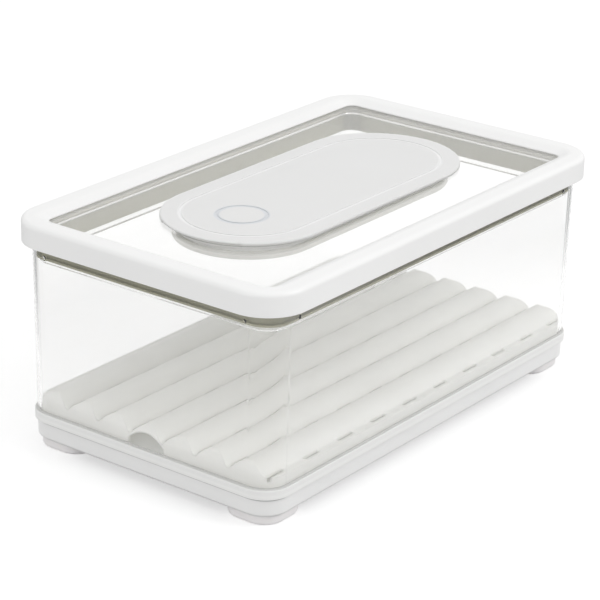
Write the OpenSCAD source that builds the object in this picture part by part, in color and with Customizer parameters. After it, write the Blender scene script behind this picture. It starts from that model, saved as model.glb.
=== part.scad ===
// Produce storage bin for a fridge shelf or a pantry: a clear tub on a white base shell with four
// soft feet, a lift-out corrugated drain tray, and a framed clear lid whose oval pocket is closed
// by a lift-off cover. Millimetres, +Z up, +X along the length, origin under the middle of the feet.

/* [Overall] */
// Length over the lid frame
length = 375; // [320:1:440]
// Width over the lid frame
width = 226; // [200:1:280]
// Height from the feet to the top of the lid frame
height = 163; // [130:1:220]

/* [Lid frame] */
// Corner radius of the frame's outside
frame_corner_r = 29.5; // [26:0.5:34]
// Width of the frame's top face
frame_face_w = 19.9; // [17:0.1:24]
// Thickness of the frame's top over the panel
frame_top_t = 4.2; // [3.8:0.1:5]
// Thickness of the frame's outer skirt
frame_wall = 2.4; // [1.8:0.1:2.8]
// Height of the frame's outer skirt
frame_skirt_h = 16.3; // [13:0.1:22]
// Rounding of the frame's outer top edge
frame_outer_round = 3.5; // [2:0.1:3.8]
// Width of the slope from the frame's flat top down to its opening
frame_slope_w = 9.4; // [8:0.1:9.6]
// Radius of the soft crease between the flat top and the slope
frame_crease_r = 8; // [5:0.5:8.5]
// Thickness of the frame at the edge of its opening
frame_edge_t = 0.65; // [0.5:0.05:1.2]
// Corner radius of the frame's opening
frame_opening_r = 6; // [4:0.5:10]
// Depth of the bead that holds the panel's edge in the frame
frame_bead = 0.6; // [0.4:0.1:0.7]

/* [Lid panel] */
// Thickness of the clear panel
panel_t = 2.4; // [1.8:0.1:3.2]
// Gap between the panel's edge and the frame's skirt
panel_edge_gap = 0.3; // [0.2:0.05:0.6]
// Distance of the plug wall's outer face from the frame's outer face
plug_inset = 15; // [14.5:0.1:16]
// Thickness of the plug wall
plug_wall = 2.2; // [1.6:0.1:3]
// Height of the plug wall below the panel
plug_h = 23.4; // [20:0.1:32]
// Height of the lip at the foot of the plug wall
plug_lip_h = 3.8; // [2:0.1:5]
// Reach of the lip past the plug wall
plug_lip_reach = 1.8; // [1:0.1:2.5]

/* [Lid seal] */
// Height of the seal band round the plug wall
seal_h = 16; // [10:0.1:16]
// Thickness of the seal band
seal_band_t = 1.6; // [1:0.1:2.2]
// Number of sealing fins
seal_fins = 3; // [1:1:4]
// Thickness of one sealing fin
seal_fin_t = 1.4; // [0.8:0.1:2]
// Gap between the fins and the tub wall
seal_gap = 0.35; // [0.3:0.05:0.8]

/* [Oval cover] */
// Length of the oval cover
cover_l = 262.5; // [230:0.5:280]
// Width of the oval cover
cover_w = 115.4; // [96:0.2:130]
// Thickness of the cover plate
cover_t = 2.1; // [1.8:0.1:2.6]
// Gap between the cover plate and the panel
cover_gap = 0.3; // [0.3:0.05:0.6]
// Rounding of the cover's top edge
cover_round = 0.9; // [0.4:0.1:1.4]
// Height of the rim under the cover
cover_rim_h = 11.9; // [10:0.1:11.9]
// Thickness of the rim under the cover
cover_rim_t = 2; // [1.4:0.1:3]
// Distance of the line round the cover's face from its edge
face_line_inset = 12.5; // [8:0.1:18]
// Width of the lines on the cover's face
face_line_w = 1.8; // [0.8:0.1:2]
// Depth of the lines on the cover's face
face_line_depth = 0.3; // [0.2:0.1:0.7]
// Radius of the plain ring near the cover's end
ring_r = 17.6; // [12:0.1:22]
// Distance of the plain ring from the middle of the cover
ring_offset = 79; // [60:0.5:84]
// Angle that the finger relief spans round the cover's end
lift_angle = 70; // [40:1:100]
// Depth of the finger relief in the plate's underside
lift_depth = 1.1; // [0.6:0.1:1.3]
// Length of a snap lug on the cover's rim
lug_l = 9; // [5:0.5:14]
// Height of a snap lug
lug_h = 1.2; // [0.8:0.1:1.4]

/* [Cover seal] */
// Height of the seal round the cover's rim
cover_seal_h = 2.8; // [2:0.1:3.6]
// Thickness of the seal round the cover's rim
cover_seal_t = 1.7; // [1.2:0.1:2]

/* [Pocket] */
// Distance of the pocket's upper wall, outside, from the cover's edge
pocket_inset = 5.5; // [5:0.1:9]
// Width of the ledge between the pocket's upper and lower walls
pocket_ledge_w = 2.5; // [2:0.1:5]
// Depth of the ledge below the panel's top
pocket_ledge_depth = 2; // [1.5:0.1:2.3]
// Depth of the pocket's floor below the panel's top
pocket_depth = 11.9; // [11.9:0.1:14]
// Wall thickness of the pocket
pocket_wall = 2; // [1.5:0.1:2.6]
// Number of air slots in the pocket's floor
vent_count = 9; // [3:1:9]
// Spacing of the air slots
vent_pitch = 20; // [12:1:20]
// Length of an air slot
vent_l = 44; // [20:1:60]
// Width of an air slot
vent_w = 3; // [2:0.1:3.6]

/* [Tub] */
// Distance of the tub wall from the frame's outer face, at the rim
tub_inset = 7.7; // [7.4:0.1:9]
// Corner radius of the tub at the rim
tub_corner_r = 19.3; // [18:0.1:21]
// Thickness of the tub wall
tub_wall = 2.3; // [1.8:0.1:2.8]
// Draft of the tub wall from rim to floor
tub_draft = 1.7; // [0.5:0.1:2.5]
// Thickness of the tub floor
tub_floor_t = 2.5; // [2:0.1:3.5]
// Reach of the outward lip at the rim
rim_lip_reach = 3.2; // [2:0.1:3.3]
// Thickness of the outward lip at the rim
rim_lip_t = 2.3; // [1.6:0.1:3]
// Gap between the rim and the lid panel
rim_gap = 0.3; // [0.3:0.05:0.6]
// Reach of the foot flange past the tub wall
flange_reach = 1.9; // [1:0.1:3]
// Height of the foot flange
flange_h = 6.6; // [5:0.1:10]
// Height of the flange's top above the tub floor
flange_rise = 2.3; // [1.2:0.1:3]
// Radius of the nubs under the lid skirt
nub_r = 1.3; // [0.8:0.1:1.6]
// Distance of the nubs below the lid skirt
nub_drop = 7.2; // [4:0.1:10]
// Distance of a short side's nubs from the bend of the corner
nub_short_inset = 2.6; // [2:0.1:30]
// Distance of a long side's nubs from the bend of the corner
nub_long_inset = 8; // [2:0.5:60]

/* [Base shell] */
// Height of the base shell's band
base_h = 13.6; // [11:0.1:20]
// Thickness of the base shell's wall and floor
base_wall = 2.2; // [1.6:0.1:3]
// Rounding of the base shell's lower edge
base_round = 3; // [2.6:0.1:5]
// Gap between the base shell's rim and the flange round it
base_fit_gap = 0.3; // [0.2:0.05:0.5]
// Thickness of the stiffening ribs
rib_t = 2; // [1.2:0.1:3]
// Spacing of the ribs that run across the base
rib_pitch = 72; // [50:1:110]

/* [Feet] */
// Height of a foot
foot_h = 6.8; // [4:0.1:10]
// Side of a foot's outline
foot_size = 40.5; // [32:0.5:48]
// Rounding of a foot's lower edge
foot_round = 2.2; // [1:0.1:3.5]
// Radius of the peg that holds a foot
peg_r = 3.5; // [2.5:0.1:5]
// Gap round the peg in its hole
peg_gap = 0.1; // [0.05:0.05:0.3]
// Reach of the peg's head past the peg
peg_head_reach = 1.5; // [0.8:0.1:2.5]
// Height of the peg's head
peg_head_h = 2.4; // [1.5:0.1:4]

/* [Drain tray] */
// Gap between the tray and the tub wall
tray_gap = 0.8; // [0.5:0.1:2]
// Gap between the tray and the tub floor
tray_floor_gap = 0.3; // [0.3:0.05:0.6]
// Thickness of the tray
tray_t = 2; // [1.5:0.1:2.5]
// Height of the valleys above the tub floor
tray_valley_h = 9.4; // [8.5:0.1:14]
// Height of the crests above the valleys
wave_h = 7.3; // [5:0.1:9]
// Number of crests
wave_count = 7; // [5:1:8]
// Distance of the outermost valleys from the tray's long sides
wave_side_inset = 4.6; // [3.8:0.1:8]
// Radius of the valleys, on top
valley_r = 2.5; // [2:0.1:3.5]
// Rounding of the tray's upper edge
tray_round = 7; // [4:0.1:8]
// Length of a drain slot
slot_l = 16; // [8:0.5:20]
// Width of a drain slot
slot_w = 2.8; // [1.5:0.1:3.4]
// Number of drain slots along a valley
slot_count = 10; // [4:1:12]
// Distance of the outermost slots' middles from the tray's ends
slot_end_inset = 12.1; // [12:0.1:24]
// Width of a finger notch
notch_w = 30; // [20:0.5:36]
// Height of a finger notch in its middle
notch_h = 12.2; // [10:0.1:12.5]
// Height of the arch over a finger notch
notch_arch_h = 7; // [4:0.1:8]
// Depth of a finger notch into the tray
notch_depth = 10; // [8:0.5:16]

/* [Hidden] */
$fn = 64;

// Overshoot of a cutter past the face it opens
over = 1;
// Overlap where two parts of one outline meet
weld = 0.1;
// Width by which the frame's inner part runs on past its slope
frame_join_w = 3;

// Frame's top: width of the outer part, width of the inner part, angle and length of the slope
frame_outer_w = frame_face_w - frame_slope_w - frame_join_w / 2;
frame_inner_w = frame_slope_w + frame_join_w;
crease_drop = frame_crease_r + frame_edge_t - frame_top_t;
crease_span = norm([frame_slope_w, crease_drop]);
slope_angle = asin(frame_crease_r / crease_span) - atan2(crease_drop, frame_slope_w);
slope_l = sqrt(pow(crease_span, 2) - pow(frame_crease_r, 2));

// Levels of the lid, from the top down
frame_skirt_z = height - frame_skirt_h;
panel_top_z = height - frame_top_t;
panel_under_z = panel_top_z - panel_t;
plug_foot_z = panel_under_z - plug_h;
plug_lip_z = plug_foot_z + plug_lip_h;
rim_z = panel_under_z - rim_gap;

// Levels of the base, from the feet up
base_top_z = foot_h + base_h;
base_floor_z = foot_h + base_wall;
flange_top_z = base_top_z + flange_h;
floor_z = flange_top_z - flange_rise;
floor_under_z = floor_z - tub_floor_t;

// Corner centres that the tub, base, feet, tray, plug and seal share
corner_inset = tub_inset + tub_corner_r;
corner_x = length / 2 - corner_inset;
corner_y = width / 2 - corner_inset;

// Distances of the walls from those corner centres
tub_out_top = tub_corner_r;
tub_out_foot = tub_out_top - tub_draft;
tub_in_top = tub_out_top - tub_wall;
tub_in_foot = tub_out_foot - tub_wall;
flange_out = tub_out_foot + flange_reach;
flange_in = tub_out_foot - base_fit_gap / 2;
base_rim_out = flange_in - base_fit_gap;
base_in = tub_out_foot - base_wall;
foot_out = tub_out_foot - base_round;
plug_out = corner_inset - plug_inset;
plug_in = plug_out - plug_wall;

// Tub wall, inside, at a height z
function tub_in_at(z) =
    tub_in_foot + tub_draft * (z - floor_under_z) / (rim_z - floor_under_z);

// Seal between the plug's lip and the panel
seal_foot_z = plug_lip_z;
seal_top_z = seal_foot_z + seal_h;
seal_band_out = plug_out + seal_band_t;
seal_fin_out = tub_in_at(seal_foot_z) - seal_gap;
seal_fin_pitch = (seal_h - seal_fin_t) / max(1, seal_fins - 1);

// Oval cover and pocket: both run round one line along X
oval_x = (cover_l - cover_w) / 2;
cover_out = cover_w / 2;
cover_under_z = panel_top_z + cover_gap;
cover_top_z = cover_under_z + cover_t;
cover_rim_z = cover_under_z - cover_rim_h;
pocket_up_out = cover_out - pocket_inset;
pocket_up_in = pocket_up_out - pocket_wall;
pocket_low_in = pocket_up_in - pocket_ledge_w;
pocket_low_out = pocket_low_in + pocket_wall;
pocket_ledge_z = panel_top_z - pocket_ledge_depth;
pocket_floor_z = panel_top_z - pocket_depth;
cover_seal_out = pocket_low_in - cover_gap;
cover_rim_out = cover_seal_out - cover_seal_t;
cover_rim_in = cover_rim_out - cover_rim_t;
cover_seal_top_z = cover_rim_z + cover_seal_h;

// Tray: wave of crest arcs and valley arcs that meet on a slope
tray_out = tub_in_foot - tray_gap;
tray_foot_z = floor_z + tray_floor_gap;
valley_z = floor_z + tray_valley_h;
crest_z = valley_z + wave_h;
last_valley_y = corner_y + tray_out - wave_side_inset;
wave_pitch = 2 * last_valley_y / wave_count;
wave_angle = 2 * atan(wave_h / (wave_pitch / 2));
crest_r = wave_pitch / 2 / sin(wave_angle) - valley_r;
last_slot_x = corner_x + tray_out - slot_end_inset;
slot_pitch = 2 * last_slot_x / (slot_count - 1);

// Profile swept round a rectangle of corner centres, with x as the distance outward from it
module swept(half_x, half_y) {
    for (side = [0 : 3]) {
        across = side % 2 == 0 ? half_x : half_y;
        along = side % 2 == 0 ? half_y : half_x;
        rotate([0, 0, 90 * side])
            translate([across, along, 0]) {
                rotate_extrude(angle = 90) children();
                if (along > 0) rotate([90, 0, 0]) linear_extrude(2 * along) children();
            }
    }
}

// Rectangle with rounded corners, given by its corner centres
module rounded_rect(half_x, half_y, r) {
    square([2 * (half_x + r), 2 * half_y], center = true);
    square([2 * half_x, 2 * (half_y + r)], center = true);
    for (sx = [-1, 1], sy = [-1, 1]) translate([sx * half_x, sy * half_y]) circle(r);
}

// Upright slab between two levels
module slab(half_x, half_y, r, z0, z1) {
    translate([0, 0, z0]) linear_extrude(z1 - z0) rounded_rect(half_x, half_y, r);
}

// What a rounding of radius r takes off an outer corner, with its centre at the origin
module corner_waste(r) {
    difference() {
        square(r + over);
        circle(r);
    }
}

// Rectangle of a profile, from corner to corner
module span(x0, x1, z0, z1) {
    translate([x0, z0]) square([x1 - x0, z1 - z0]);
}

// Slot with round ends along X
module slot(l, w) {
    square([l - w, w], center = true);
    for (sx = [-1, 1]) translate([sx * (l - w) / 2, 0]) circle(w / 2);
}

// Four copies, one in each corner
module each_corner() {
    for (sx = [0, 1], sy = [0, 1]) mirror([sx, 0, 0]) mirror([0, sy, 0]) children();
}

// Tub

module tub_profile() {
    polygon([
        [tub_in_foot, floor_under_z], [tub_out_foot, floor_under_z],
        [tub_out_top, rim_z], [tub_in_top, rim_z]
    ]);
    difference() {
        span(tub_in_top, tub_out_top + rim_lip_reach, rim_z - rim_lip_t, rim_z);
        translate([tub_out_top + rim_lip_reach - rim_lip_t / 2, rim_z - rim_lip_t / 2])
            corner_waste(rim_lip_t / 2);
    }
    difference() {
        span(tub_in_foot, flange_out, floor_under_z, flange_top_z);
        span(0, tub_in_foot + tub_wall / 2, floor_z, flange_top_z + over);
        translate([flange_out - flange_reach / 2, flange_top_z - flange_reach / 2])
            corner_waste(flange_reach / 2);
    }
    span(flange_in, flange_out, base_top_z, floor_under_z + over);
}

module nubs() {
    nub_z = frame_skirt_z - nub_drop;
    nub_out = tub_in_at(nub_z) + tub_wall;
    each_corner() {
        translate([corner_x + nub_out, corner_y - nub_short_inset, nub_z]) sphere(nub_r);
        translate([corner_x - nub_long_inset, corner_y + nub_out, nub_z]) sphere(nub_r);
    }
}

module tub() {
    color([0.93, 0.95, 0.95, 0.35]) {
        swept(corner_x, corner_y) tub_profile();
        slab(corner_x, corner_y, tub_in_foot + tub_wall / 2, floor_under_z, floor_z);
        nubs();
    }
}

// Base shell

module base_profile() {
    difference() {
        span(base_in, tub_out_foot, foot_h + base_wall, base_top_z);
        span(0, base_in, 0, base_top_z);
    }
    span(base_in, base_rim_out, base_top_z - base_wall, floor_under_z);
    difference() {
        span(0, tub_out_foot, foot_h, base_floor_z + over);
        translate([foot_out, foot_h + base_round]) mirror([0, 1, 0]) corner_waste(base_round);
        span(-over, base_in, base_floor_z, base_top_z);
    }
}

module base_ribs() {
    rib_reach_x = corner_x + base_in + rib_t / 2;
    rib_reach_y = corner_y + base_in + rib_t / 2;
    translate([-rib_reach_x, -rib_t / 2, base_floor_z - base_wall / 2])
        cube([2 * rib_reach_x, rib_t, floor_under_z - base_floor_z + base_wall / 2]);
    for (k = [-2 : 2])
        translate([k * rib_pitch - rib_t / 2, -rib_reach_y, base_floor_z - base_wall / 2])
            cube([rib_t, 2 * rib_reach_y, floor_under_z - base_floor_z + base_wall / 2]);
}

module foot_place() {
    translate([corner_x + foot_out - foot_size / 2, corner_y + foot_out - foot_size / 2, 0]) children();
}

module base_shell() {
    color([0.93, 0.93, 0.92]) difference() {
        union() {
            swept(corner_x, corner_y) base_profile();
            slab(corner_x, corner_y, base_round, foot_h, base_floor_z);
            base_ribs();
        }
        each_corner() foot_place()
            translate([0, 0, foot_h - over]) cylinder(r = peg_r + peg_gap, h = base_wall + 2 * over);
    }
}

// Feet

module foot_profile() {
    difference() {
        span(0, foot_out, 0, foot_h);
        translate([foot_out - foot_round, foot_round]) mirror([0, 1, 0]) corner_waste(foot_round);
    }
}

module foot() {
    half = foot_size / 2 - foot_out;
    color([0.90, 0.90, 0.89]) {
        swept(half, half) foot_profile();
        translate([-half, -half, 0]) cube([2 * half, 2 * half, foot_h]);
        translate([0, 0, foot_h - over]) cylinder(r = peg_r, h = base_wall + over);
        translate([0, 0, base_floor_z])
            cylinder(r1 = peg_r + peg_head_reach, r2 = peg_r - peg_gap, h = peg_head_h);
    }
}

module foot_front_left() {
    mirror([1, 0, 0]) mirror([0, 1, 0]) foot_place() foot();
}

module foot_front_right() {
    mirror([0, 1, 0]) foot_place() foot();
}

module foot_back_left() {
    mirror([1, 0, 0]) foot_place() foot();
}

module foot_back_right() {
    foot_place() foot();
}

// Drain tray

// Region under the wave, drawn across the tray, thinned by inset from above
module wave_region(inset) {
    crest_in_r = crest_r - inset;
    valley_in_r = valley_r + inset;
    low_z = valley_z - inset;
    meet_z = low_z + valley_in_r * (1 - cos(wave_angle));
    half_y = corner_y + tray_out - inset;
    span(-half_y, half_y, tray_foot_z - over, low_z);
    for (k = [0 : wave_count - 1]) translate([(k + 0.5) * wave_pitch - last_valley_y, 0]) {
        difference() {
            span(-wave_pitch / 2, wave_pitch / 2, low_z - weld, meet_z);
            for (sy = [-1, 1]) translate([sy * wave_pitch / 2, low_z + valley_in_r]) circle(valley_in_r);
        }
        intersection() {
            translate([0, crest_z - crest_r]) circle(crest_in_r);
            span(-wave_pitch / 2, wave_pitch / 2, meet_z - weld, crest_z + over);
        }
    }
}

module tray_block_profile(inset, foot_z) {
    difference() {
        span(0, tray_out - inset, foot_z, crest_z - inset);
        translate([tray_out - tray_round, crest_z - tray_round]) corner_waste(tray_round - inset);
    }
}

// Corrugated body with rounded ends, thinned by inset on every side but its foot
module tray_form(inset, foot_z) {
    intersection() {
        rotate([90, 0, 90])
            linear_extrude(2 * (corner_x + tray_out + over), center = true) wave_region(inset);
        union() {
            swept(corner_x, corner_y) tray_block_profile(inset, foot_z);
            translate([-corner_x, -corner_y, foot_z])
                cube([2 * corner_x, 2 * corner_y, crest_z - inset - foot_z]);
        }
    }
}

module drain_slots() {
    for (row = [0 : wave_count], k = [0 : slot_count - 1])
        translate([k * slot_pitch - last_slot_x, row * wave_pitch - last_valley_y, valley_z - tray_t - over])
            linear_extrude(tray_t + 2 * over) slot(slot_l, slot_w);
}

module finger_notch() {
    arch_r = (pow(notch_w / 2, 2) + pow(notch_arch_h, 2)) / (2 * notch_arch_h);
    translate([corner_x + tray_out - notch_depth, 0, 0])
        rotate([90, 0, 90])
            linear_extrude(notch_depth + over) intersection() {
                span(-notch_w / 2, notch_w / 2, tray_foot_z - over, tray_foot_z + notch_h + over);
                translate([0, tray_foot_z + notch_h - arch_r]) circle(arch_r);
            }
}

module drain_tray() {
    color([0.95, 0.95, 0.94]) difference() {
        tray_form(0, tray_foot_z);
        tray_form(tray_t, tray_foot_z - over);
        drain_slots();
        for (sx = [0, 1]) mirror([sx, 0, 0]) finger_notch();
    }
}

// Lid frame

module frame_outer_profile() {
    difference() {
        union() {
            span(frame_corner_r - frame_outer_w, frame_corner_r, panel_top_z, height);
            span(frame_corner_r - frame_wall, frame_corner_r, frame_skirt_z, height);
            translate([frame_corner_r - frame_wall, panel_under_z - frame_bead]) circle(frame_bead);
        }
        translate([frame_corner_r - frame_outer_round, height - frame_outer_round])
            corner_waste(frame_outer_round);
    }
}

// What the slope and its crease take off the frame's inner part
module slope_waste() {
    crease_x = frame_opening_r + frame_slope_w;
    crease_z = height - frame_crease_r;
    edge_z = panel_top_z + frame_edge_t;
    slope_x = frame_opening_r + slope_l * cos(slope_angle);
    slope_z = edge_z + slope_l * sin(slope_angle);
    difference() {
        polygon([
            [frame_opening_r - over, edge_z - over * tan(slope_angle)], [slope_x, slope_z],
            [crease_x, crease_z], [crease_x, height + over], [frame_opening_r - over, height + over]
        ]);
        translate([crease_x, crease_z]) circle(frame_crease_r);
    }
}

module frame_inner_profile() {
    difference() {
        span(frame_opening_r, frame_opening_r + frame_inner_w, panel_top_z, height);
        slope_waste();
    }
}

module lid_frame() {
    color([0.96, 0.96, 0.95]) {
        swept(length / 2 - frame_corner_r, width / 2 - frame_corner_r) frame_outer_profile();
        swept(length / 2 - frame_face_w - frame_opening_r, width / 2 - frame_face_w - frame_opening_r)
            frame_inner_profile();
    }
}

// Lid panel

module plug_profile() {
    span(plug_in, plug_out, plug_foot_z, panel_under_z + panel_t / 2);
    difference() {
        span(plug_in, plug_out + plug_lip_reach, plug_foot_z, plug_lip_z);
        translate([plug_out + plug_lip_reach / 2, plug_foot_z + plug_lip_reach / 2])
            mirror([0, 1, 0]) corner_waste(plug_lip_reach / 2);
    }
}

module pocket_profile() {
    span(pocket_up_in, pocket_up_out, pocket_ledge_z - pocket_wall, panel_top_z);
    span(pocket_low_in, pocket_up_out, pocket_ledge_z - pocket_wall, pocket_ledge_z);
    difference() {
        span(0, pocket_low_out, pocket_floor_z - pocket_wall, pocket_ledge_z);
        span(-over, pocket_low_in, pocket_floor_z, pocket_ledge_z + over);
        translate([pocket_low_out - pocket_wall / 2, pocket_floor_z - pocket_wall / 2])
            mirror([0, 1, 0]) corner_waste(pocket_wall / 2);
    }
}

module vent_slots() {
    for (k = [0 : vent_count - 1])
        translate([(k - (vent_count - 1) / 2) * vent_pitch, 0, pocket_floor_z - pocket_wall - over])
            rotate([0, 0, 90]) linear_extrude(pocket_wall + 2 * over) slot(vent_l, vent_w);
}

module lid_panel() {
    edge_r = frame_corner_r - frame_wall - panel_edge_gap;
    color([0.93, 0.95, 0.95, 0.3]) {
        difference() {
            slab(length / 2 - frame_corner_r, width / 2 - frame_corner_r, edge_r, panel_under_z, panel_top_z);
            translate([0, 0, panel_under_z - over])
                linear_extrude(panel_t + 2 * over) slot(2 * (oval_x + pocket_up_in), 2 * pocket_up_in);
        }
        swept(corner_x, corner_y) plug_profile();
        difference() {
            swept(oval_x, 0) pocket_profile();
            vent_slots();
        }
    }
}

// Lid seal

module lid_seal() {
    color([0.72, 0.71, 0.66]) swept(corner_x, corner_y) {
        span(plug_out, seal_band_out, seal_foot_z, seal_top_z);
        for (k = [0 : seal_fins - 1])
            span(seal_band_out - seal_band_t / 2, seal_fin_out, seal_foot_z + k * seal_fin_pitch,
                 seal_foot_z + k * seal_fin_pitch + seal_fin_t);
    }
}

// Oval cover

module cover_profile() {
    difference() {
        span(0, cover_out, cover_under_z, cover_top_z);
        translate([cover_out - cover_round, cover_top_z - cover_round]) corner_waste(cover_round);
        span(cover_out - face_line_inset - face_line_w, cover_out - face_line_inset,
             cover_top_z - face_line_depth, cover_top_z + over);
    }
    span(cover_rim_in, cover_rim_out, cover_rim_z, cover_under_z + cover_t / 2);
}

// Sector of the plate's underside that a fingertip reaches under
module lift_relief() {
    translate([-oval_x, 0, 0])
        rotate([0, 0, 180 - lift_angle / 2])
            rotate_extrude(angle = lift_angle)
                span(cover_out - pocket_inset, cover_out + over,
                     cover_under_z - over, cover_under_z + lift_depth);
}

module plain_ring() {
    translate([-ring_offset, 0, cover_top_z - face_line_depth])
        difference() {
            cylinder(r = ring_r, h = face_line_depth + over);
            translate([0, 0, -over]) cylinder(r = ring_r - face_line_w, h = face_line_depth + 3 * over);
        }
}

module snap_lugs() {
    lug_reach = cover_seal_t / 2;
    for (sy = [0, 1]) mirror([0, sy, 0])
        translate([-lug_l / 2, cover_rim_out - cover_rim_t / 2, cover_seal_top_z])
            cube([lug_l, cover_rim_t / 2 + lug_reach, lug_h]);
}

module vent_cover() {
    color([0.90, 0.90, 0.90]) {
        difference() {
            swept(oval_x, 0) cover_profile();
            lift_relief();
            plain_ring();
        }
        snap_lugs();
    }
}

// Cover seal

module cover_seal() {
    color([0.72, 0.71, 0.66])
        swept(oval_x, 0)
            span(cover_rim_out, cover_seal_out, cover_rim_z, cover_seal_top_z);
}

tub();
base_shell();
foot_front_left();
foot_front_right();
foot_back_left();
foot_back_right();
drain_tray();
lid_frame();
lid_panel();
lid_seal();
vent_cover();
cover_seal();
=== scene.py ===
"""Looks of the produce storage bin: clear tub and lid panel, satin white frame, base and tray,
frosted oval cover, silicone seals and soft feet, in a plain pale studio."""

import math

import bpy
from mathutils import Matrix, Vector


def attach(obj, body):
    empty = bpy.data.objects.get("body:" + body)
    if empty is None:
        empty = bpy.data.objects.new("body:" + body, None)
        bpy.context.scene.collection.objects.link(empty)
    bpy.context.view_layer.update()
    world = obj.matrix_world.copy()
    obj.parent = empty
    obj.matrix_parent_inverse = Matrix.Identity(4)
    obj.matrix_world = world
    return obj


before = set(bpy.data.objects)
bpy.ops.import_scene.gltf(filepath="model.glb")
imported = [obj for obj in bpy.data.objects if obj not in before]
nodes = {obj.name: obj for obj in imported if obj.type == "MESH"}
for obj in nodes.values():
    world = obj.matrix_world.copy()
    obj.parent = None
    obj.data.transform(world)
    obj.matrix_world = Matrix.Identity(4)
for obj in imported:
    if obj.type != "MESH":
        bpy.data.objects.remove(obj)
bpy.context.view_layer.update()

# Camera fitted to the photograph
CAMERA_PLACE = (-1.25189, -0.93572, 0.70695)
CAMERA_YAW = 0.919546
CAMERA_PITCH = 0.388209
CAMERA_ROLL = 0.0199035
CAMERA_LENS = 145.73
CAMERA_SHIFT = (0.0157, 0.0181)

# Studio: bent rays that land far to the side see a darker floor, which draws the clear edges
SKY = 0.8
FLOOR_SIZE = 8.0
FLOOR_LIFT = 0.52
SIDEWAYS = (math.cos(CAMERA_YAW), -math.sin(CAMERA_YAW), 0.0)
SIDE_SHADE = 0.7
SIDE_SHADE_FROM = 0.29
SIDE_SHADE_FULL = 0.42

# Places on the bin in metres, from the CAD
CORNER_X = 0.1605
CORNER_Y = 0.086
PLUG_IN = 0.0098
BEAD_LEVEL = 0.1505
BEAD_R = 0.0009
SEAL_HIGHLIGHT_FROM = 0.1515
RING_X = -0.079
RING_R = 0.0167
COVER_TOP = 0.1612
COVER_UNDER = 0.1591
COVER_CORE = 0.07355
FACE_LINE = 0.0443
POCKET_OUT = 0.0497
POCKET_FOOT = 0.1492
FLANGE_MIDDLE = 0.0225
FLANGE_TOP = 0.0269
LIT_FLANGE_BELOW = 0.0275

# Shadow bands on the base shell: level where each starts, level where it is full, its grey
BASE_BANDS = ((0.0186, 0.0193, 0.32), (0.0092, 0.0068, 0.6))

# Share of the lamps' and the bounced light that passes clear plastic
LIGHT_PASSED = 0.97

SEEN_RAYS = ("Is Camera Ray", "Is Glossy Ray", "Is Transmission Ray")
BENT_RAYS = ("Is Glossy Ray", "Is Transmission Ray")
LIGHTING_RAYS = ("Is Shadow Ray", "Is Diffuse Ray")


def add_camera():
    data = bpy.data.cameras.new("photo_camera")
    data.sensor_width = 36.0
    data.sensor_fit = "HORIZONTAL"
    data.lens = CAMERA_LENS
    data.shift_x, data.shift_y = CAMERA_SHIFT
    data.clip_start = 0.05
    data.clip_end = 60.0
    yaw, pitch, roll = CAMERA_YAW, CAMERA_PITCH, CAMERA_ROLL
    ahead = Vector((math.sin(yaw) * math.cos(pitch), math.cos(yaw) * math.cos(pitch), -math.sin(pitch)))
    level = Vector((math.cos(yaw), -math.sin(yaw), 0.0))
    upward = level.cross(ahead)
    right = level * math.cos(roll) + upward * math.sin(roll)
    up = upward * math.cos(roll) - level * math.sin(roll)
    turn = Matrix((right, up, -ahead)).transposed()
    camera = bpy.data.objects.new("photo_camera", data)
    camera.matrix_world = Matrix.Translation(CAMERA_PLACE) @ turn.to_4x4()
    bpy.context.scene.collection.objects.link(camera)
    bpy.context.scene.camera = camera


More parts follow.
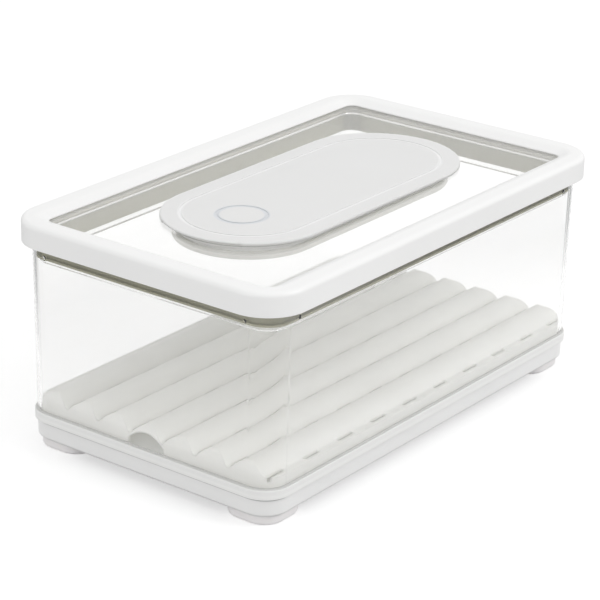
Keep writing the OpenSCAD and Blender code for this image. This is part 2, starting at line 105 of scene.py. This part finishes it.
class Tree:
    """Short calls for building one node tree."""

    def __init__(self, tree):
        self.tree = tree
        tree.nodes.clear()

    def add(self, kind, inputs=None, **settings):
        made = self.tree.nodes.new(kind)
        for name, value in settings.items():
            setattr(made, name, value)
        for name, value in (inputs or {}).items():
            if isinstance(value, bpy.types.NodeSocket):
                self.tree.links.new(value, made.inputs[name])
            else:
                made.inputs[name].default_value = value
        return made

    def place(self):
        return self.add("ShaderNodeTexCoord").outputs["Object"]

    def level(self, where):
        return self.add("ShaderNodeSeparateXYZ", {"Vector": where}).outputs["Z"]

    def noise(self, where, scale, detail=3.0, roughness=0.55):
        made = self.add("ShaderNodeTexNoise", {
            "Vector": where, "Scale": scale, "Detail": detail, "Roughness": roughness})
        return made.outputs["Fac"]

    def spread(self, value, low, high, start=0.3, end=0.7):
        """The value's span from start to end, stretched over low to high. The span left out is a
        noise's."""
        made = self.add("ShaderNodeMapRange", {
            "Value": value, "From Min": start, "From Max": end, "To Min": low, "To Max": high})
        return made.outputs["Result"]

    def math(self, operation, first, second=0.0):
        made = self.add("ShaderNodeMath", {0: first, 1: second}, operation=operation)
        return made.outputs[0]

    def apart(self, value, target):
        return self.math("ABSOLUTE", self.math("SUBTRACT", value, target))

    def blend(self, factor, first, second):
        made = self.add("ShaderNodeMix", {"Factor": factor}, data_type="RGBA")
        for socket, colour in ((made.inputs[6], first), (made.inputs[7], second)):
            if isinstance(colour, bpy.types.NodeSocket):
                self.tree.links.new(colour, socket)
            else:
                socket.default_value = (*colour, 1.0)
        return made.outputs[2]

    def mix_shaders(self, factor, first, second):
        return self.add("ShaderNodeMixShader", {0: factor, 1: first, 2: second}).outputs[0]

    def rays(self, kinds):
        """One for rays of the named kinds, zero for the others."""
        path = self.add("ShaderNodeLightPath").outputs
        chosen = path[kinds[0]]
        for kind in kinds[1:]:
            chosen = self.math("MAXIMUM", chosen, path[kind])
        return chosen

    def off_core(self, where):
        """Distance from the middle line of the cover's round-ended outline."""
        axes = self.add("ShaderNodeSeparateXYZ", {"Vector": where}).outputs
        past = self.math("MAXIMUM", self.math("SUBTRACT", self.math("ABSOLUTE", axes["X"]), COVER_CORE), 0.0)
        along_square = self.math("MULTIPLY", past, past)
        across_square = self.math("MULTIPLY", axes["Y"], axes["Y"])
        return self.math("SQRT", self.math("ADD", along_square, across_square))

    def soft_edges(self, radius):
        made = self.add("ShaderNodeBevel", {"Radius": radius}, samples=4)
        return made.outputs["Normal"]

    def bump(self, height, distance, strength=1.0, normal=None):
        made = self.add("ShaderNodeBump", {"Height": height, "Distance": distance, "Strength": strength})
        if normal:
            self.tree.links.new(normal, made.inputs["Normal"])
        return made.outputs["Normal"]

    def finish(self, surface):
        self.add("ShaderNodeOutputMaterial", {"Surface": surface})


def new_material(name):
    material = bpy.data.materials.new(name)
    material.use_nodes = True
    return material, Tree(material.node_tree)


def satin_plastic(name, light, dark, roughness, grain, glow=0.0, edge_r=0.0004, shadow_bands=()):
    """White moulded plastic: faint cloudy colour, fine erosion grain, slow sink marks, soft
    edges, and a share of the light that comes through the wall. Each shadow band darkens the
    colour from its first level to its second."""
    material, t = new_material(name)
    where = t.place()
    cloud = t.noise(where, 14.0, 4.0)
    speck = t.noise(where, 900.0, 2.0)
    sink = t.noise(where, 22.0)
    colour = t.blend(t.spread(cloud, 0.0, 1.0), dark, light)
    for clear_level, full_level, tone in shadow_bands:
        band = t.spread(t.level(where), 0.0, 1.0, clear_level, full_level)
        colour = t.blend(band, colour, (tone, tone, tone))
    rough = t.math("ADD", t.spread(cloud, roughness - 0.04, roughness + 0.04), t.spread(speck, -0.03, 0.03))
    relief = t.math("ADD", t.math("MULTIPLY", speck, grain), t.math("MULTIPLY", sink, 3.0 * grain))
    normal = t.bump(relief, 0.0001, 1.0, t.soft_edges(edge_r))
    shader = t.add("ShaderNodeBsdfPrincipled", {
        "Base Color": colour, "Roughness": rough, "IOR": 1.46, "Normal": normal})
    through = t.add("ShaderNodeBsdfTranslucent", {"Color": colour, "Normal": normal})
    t.finish(t.mix_shaders(glow, shader.outputs[0], through.outputs[0]))
    return material


def pocket_foot(t, where, surface, share):
    """The low part of the lid's pocket, painted a little pale: painted light that turns its dark clear edge
    into a bright line.
    """
    low = t.spread(t.level(where), share, 0.0, POCKET_FOOT - 0.0014, POCKET_FOOT)
    inside = t.spread(t.off_core(where), 1.0, 0.0, POCKET_OUT + 0.002, POCKET_OUT + 0.003)
    # Painted light: a pale diffuse share turns the pocket's dark foot edge into a bright line.
    light_line = t.add("ShaderNodeBsdfDiffuse", {"Color": (0.95, 0.94, 0.9, 1.0)})
    return t.mix_shaders(t.math("MULTIPLY", low, inside), surface, light_line.outputs[0])


def milky_lit_flange(t, where, surface, share):
    """The tub's thick flange, painted milky for the light its thick plastic gathers, with a painted
    highlight along its middle and a painted shade line on its top.
    """
    level = t.level(where)
    # Painted light: below this level the flange is painted milky with diffuse and translucent shades.
    foot = t.spread(level, share, 0.0, LIT_FLANGE_BELOW - 0.0004, LIT_FLANGE_BELOW)
    # Painted highlight along the flange's middle.
    middle_highlight = t.spread(t.apart(level, FLANGE_MIDDLE), 1.0, 0.0, 0.0004, 0.0012)
    colour = t.blend(middle_highlight, (0.97, 0.97, 0.96), (1.0, 1.0, 0.99))
    # Painted shade line on the flange's top face.
    colour = t.blend(t.spread(level, 0.0, 1.0, FLANGE_TOP - 0.0003, FLANGE_TOP), colour, (0.72, 0.72, 0.71))
    back = t.add("ShaderNodeBsdfDiffuse", {"Color": colour})
    through = t.add("ShaderNodeBsdfTranslucent", {"Color": colour})
    return t.mix_shaders(foot, surface, t.mix_shaders(0.08, back.outputs[0], through.outputs[0]))


def clear_plastic(name, tint, roughness, clearness, thick_part, thick_share):
    """Solid clear plastic, faintly hazy. Lamps and bounced light pass it, so that what it holds
    is lit. Its thick part is painted milky by the given share, painted light for the light that thick clear
    plastic gathers."""
    material, t = new_material(name)
    where = t.place()
    flow = t.noise(where, 9.0, 2.0)
    haze = t.noise(where, 60.0, 3.0)
    solid = t.math("SUBTRACT", 1.0, t.math("MULTIPLY", t.rays(LIGHTING_RAYS), LIGHT_PASSED))
    shader = t.add("ShaderNodeBsdfPrincipled", {
        "Base Color": t.blend(t.spread(haze, 0.0, 1.0), tint, tuple(min(1.0, c + 0.01) for c in tint)),
        "Roughness": t.spread(haze, roughness * 0.4, roughness * 1.6),
        "IOR": 1.49, "Transmission Weight": clearness,
        "Alpha": solid, "Normal": t.bump(flow, 0.0002, 0.1)})
    t.finish(thick_part(t, where, shader.outputs[0], thick_share))
    return material


def silicone(name, light, dark, highlight_level=None):
    """Soft silicone, dusty and a little open to light. Above a level its thin lip is painted paler, a
    painted highlight where light falls on the seal's top edge.
    """
    material, t = new_material(name)
    where = t.place()
    cloud = t.noise(where, 30.0, 3.0)
    dust = t.noise(where, 1400.0, 2.0)
    colour = t.blend(t.spread(cloud, 0.0, 1.0), dark, light)
    if highlight_level:
        # Painted highlight: the lip above the level is painted paler.
        lip_highlight = t.spread(t.level(where), 0.0, 1.0, highlight_level - 0.0003, highlight_level)
        colour = t.blend(lip_highlight, colour, (0.6, 0.58, 0.5))
    shader = t.add("ShaderNodeBsdfPrincipled", {
        "Base Color": colour,
        "Roughness": t.spread(dust, 0.42, 0.6), "IOR": 1.41,
        "Subsurface Weight": 0.15, "Subsurface Scale": 0.002, "Subsurface Radius": (1.0, 1.0, 0.9),
        "Normal": t.bump(dust, 0.00006)})
    t.finish(shader.outputs[0])
    return material


def frosted(name, light, dark, ring_colour):
    """Frosted cover: milky, a little light comes through it, with a fine even tooth. Its face line is
    painted paler against the shade in its groove, the rim below its plate is painted paler where the plate
    shades it, and the floor of its plain ring is cooler."""
    material, t = new_material(name)
    where = t.place()
    cloud = t.noise(where, 11.0, 4.0)
    tooth = t.noise(where, 1500.0, 2.0)
    spot = t.add("ShaderNodeVectorMath", {0: where, 1: (RING_X, 0.0, COVER_TOP)}, operation="DISTANCE")
    # Painted light: the face line's groove is painted paler to offset its shade.
    lit_face_line = t.spread(t.apart(t.off_core(where), FACE_LINE), 1.0, 0.0, 0.0008, 0.0022)
    ring = t.spread(t.apart(spot.outputs["Value"], RING_R), 1.0, 0.0, 0.0015, 0.0026)
    # Painted light: the rim below the plate, which the plate shades, is painted paler.
    lit_rim = t.spread(t.level(where), 1.0, 0.0, COVER_UNDER - 0.0003, COVER_UNDER)
    colour = t.blend(t.spread(cloud, 0.0, 1.0), dark, light)
    colour = t.blend(lit_face_line, colour, (0.93, 0.93, 0.93))
    colour = t.blend(ring, colour, ring_colour)
    colour = t.blend(lit_rim, colour, (0.95, 0.95, 0.95))
    shader = t.add("ShaderNodeBsdfPrincipled", {
        "Base Color": colour,
        "Roughness": t.spread(tooth, 0.4, 0.54), "IOR": 1.49,
        "Subsurface Weight": 0.3, "Subsurface Scale": 0.003, "Subsurface Radius": (1.0, 1.0, 1.0),
        "Normal": t.bump(tooth, 0.00005, 1.0, t.soft_edges(0.0016))})
    t.finish(shader.outputs[0])
    return material


def bright_bead(name):
    """Polished bead that sends the light back: a painted highlight standing in for the bright line that the
    clear plug wall shows.
    """
    material, t = new_material(name)
    where = t.place()
    shader = t.add("ShaderNodeBsdfPrincipled", {
        "Base Color": t.blend(t.noise(where, 40.0), (0.96, 0.95, 0.93), (0.99, 0.98, 0.97)),
        "Metallic": 0.7, "Roughness": t.spread(t.noise(where, 300.0), 0.12, 0.24)})
    t.finish(shader.outputs[0])
    return material


def round_section(out, level, radius, steps=12):
    angles = [math.tau * k / steps for k in range(steps)]
    return [(out + radius * math.cos(angle), level + radius * math.sin(angle)) for angle in angles]


def sweep_round(name, half_x, half_y, section, body, material):
    """Closed strip of a section, given as (distance from the corner centres, height) points, swept
    round a rectangle of corner centres."""
    verts, faces = [], []
    turns = 10
    corners = ((half_x, half_y, 0), (-half_x, half_y, 90), (-half_x, -half_y, 180), (half_x, -half_y, 270))
    for centre_x, centre_y, start in corners:
        for k in range(turns + 1):
            angle = math.radians(start + 90 * k / turns)
            for out, level in section:
                verts.append((centre_x + out * math.cos(angle), centre_y + out * math.sin(angle), level))
    ring = len(section)
    count = len(verts) // ring
    for i in range(count):
        for j in range(ring):
            a, b = i * ring + j, i * ring + (j + 1) % ring
            c, d = ((i + 1) % count) * ring + (j + 1) % ring, ((i + 1) % count) * ring + j
            faces.append((a, d, c, b))
    mesh = bpy.data.meshes.new(name)
    mesh.from_pydata(verts, [], faces)
    mesh.polygons.foreach_set("use_smooth", [True] * len(faces))
    mesh.update()
    mesh.materials.append(material)
    piece = bpy.data.objects.new(name, mesh)
    bpy.context.scene.collection.objects.link(piece)
    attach(piece, body)


def dress(node, material):
    mesh = nodes[node].data
    mesh.materials.clear()
    mesh.materials.append(material)


def add_floor():
    mesh = bpy.data.meshes.new("studio_floor")
    half = FLOOR_SIZE / 2
    corners = [(-half, -half, 0), (half, -half, 0), (half, half, 0), (-half, half, 0)]
    mesh.from_pydata(corners, [], [(0, 1, 2, 3)])
    material, t = new_material("floor_paper")
    where = t.place()
    paper = t.noise(where, 3.0, 2.0)
    matt = t.add("ShaderNodeBsdfDiffuse", {"Color": t.blend(paper, (0.59, 0.59, 0.59), (0.61, 0.61, 0.61))})
    lift = t.add("ShaderNodeEmission", {
        "Color": (1, 1, 1, 1), "Strength": t.math("MULTIPLY", t.rays(SEEN_RAYS), FLOOR_LIFT)})
    across = t.add("ShaderNodeVectorMath", {0: where, 1: SIDEWAYS}, operation="DOT_PRODUCT").outputs["Value"]
    beside = t.spread(t.math("ABSOLUTE", across), 0.0, SIDE_SHADE, SIDE_SHADE_FROM, SIDE_SHADE_FULL)
    shade = t.add("ShaderNodeBsdfDiffuse", {"Color": (0.25, 0.26, 0.26, 1.0)})
    both = t.add("ShaderNodeAddShader", {0: matt.outputs[0], 1: lift.outputs[0]})
    t.finish(t.mix_shaders(t.math("MULTIPLY", beside, t.rays(BENT_RAYS)), both.outputs[0], shade.outputs[0]))
    mesh.materials.append(material)
    floor = bpy.data.objects.new("studio_floor", mesh)
    bpy.context.scene.collection.objects.link(floor)


def add_world():
    world = bpy.data.worlds.new("studio_world")
    bpy.context.scene.world = world
    world.use_nodes = True
    t = Tree(world.node_tree)
    strength = t.math("ADD", t.math("MULTIPLY", t.rays(SEEN_RAYS), 1.0 - SKY), SKY)
    back = t.add("ShaderNodeBackground", {"Color": (1, 1, 1, 1), "Strength": strength})
    t.add("ShaderNodeOutputWorld", {"Surface": back.outputs[0]})


def add_softbox(name, place, target, size, power):
    data = bpy.data.lights.new(name, "AREA")
    data.shape = "RECTANGLE"
    data.size, data.size_y = size
    data.energy = power
    lamp = bpy.data.objects.new(name, data)
    lamp.location = place
    lamp.rotation_euler = (Vector(target) - Vector(place)).to_track_quat("-Z", "Y").to_euler()
    bpy.context.scene.collection.objects.link(lamp)


add_camera()
add_world()
add_floor()
add_softbox("key_softbox", (0.8, -1.9, 1.65), (0, 0, 0.1), (1.2, 1.2), 17.0)
add_softbox("fill_softbox", (-2.0, 0.2, 0.7), (0, 0, 0.05), (1.4, 1.0), 5.0)

dress("tub", clear_plastic("clear_tub", (0.998, 0.996, 0.994), 0.012, 0.985, milky_lit_flange, 0.94))
dress("lid_panel", clear_plastic("clear_panel", (0.99, 0.99, 0.985), 0.015, 0.98, pocket_foot, 0.55))
dress("lid_frame", satin_plastic("white_frame", (0.93, 0.93, 0.925), (0.91, 0.91, 0.905), 0.34, 0.35))
dress("base_shell", satin_plastic("white_base", (0.975, 0.975, 0.97), (0.955, 0.955, 0.95), 0.36, 0.35,
                                  glow=0.1, shadow_bands=BASE_BANDS))
dress("drain_tray", satin_plastic("white_tray", (0.96, 0.96, 0.94), (0.94, 0.94, 0.92), 0.38, 0.3,
                                  glow=0.34, edge_r=0.0016))
soft_foot = silicone("soft_foot", (0.92, 0.90, 0.90), (0.90, 0.88, 0.88))
for side in ("front_left", "front_right", "back_left", "back_right"):
    dress("foot_" + side, soft_foot)
# The grey seal's top edge carries a painted highlight.
dress("lid_seal", silicone("grey_seal", (0.375, 0.365, 0.26), (0.36, 0.35, 0.245), SEAL_HIGHLIGHT_FROM))
dress("cover_seal", silicone("cover_ring", (0.52, 0.51, 0.45), (0.50, 0.49, 0.43)))
dress("vent_cover", frosted("frosted_cover", (0.79, 0.79, 0.785), (0.775, 0.775, 0.77), (0.72, 0.74, 0.765)))

# Painted highlight: a thin bright bead round the plug wall where the bright line shows.
sweep_round("plug_highlight_bead", CORNER_X, CORNER_Y, round_section(PLUG_IN, BEAD_LEVEL, BEAD_R), "lid",
            bright_bead("highlight_bead"))

scene = bpy.context.scene
scene.view_settings.view_transform = "Standard"
scene.cycles.max_bounces = 24
scene.cycles.diffuse_bounces = 8
scene.cycles.transmission_bounces = 24
scene.cycles.transparent_max_bounces = 24
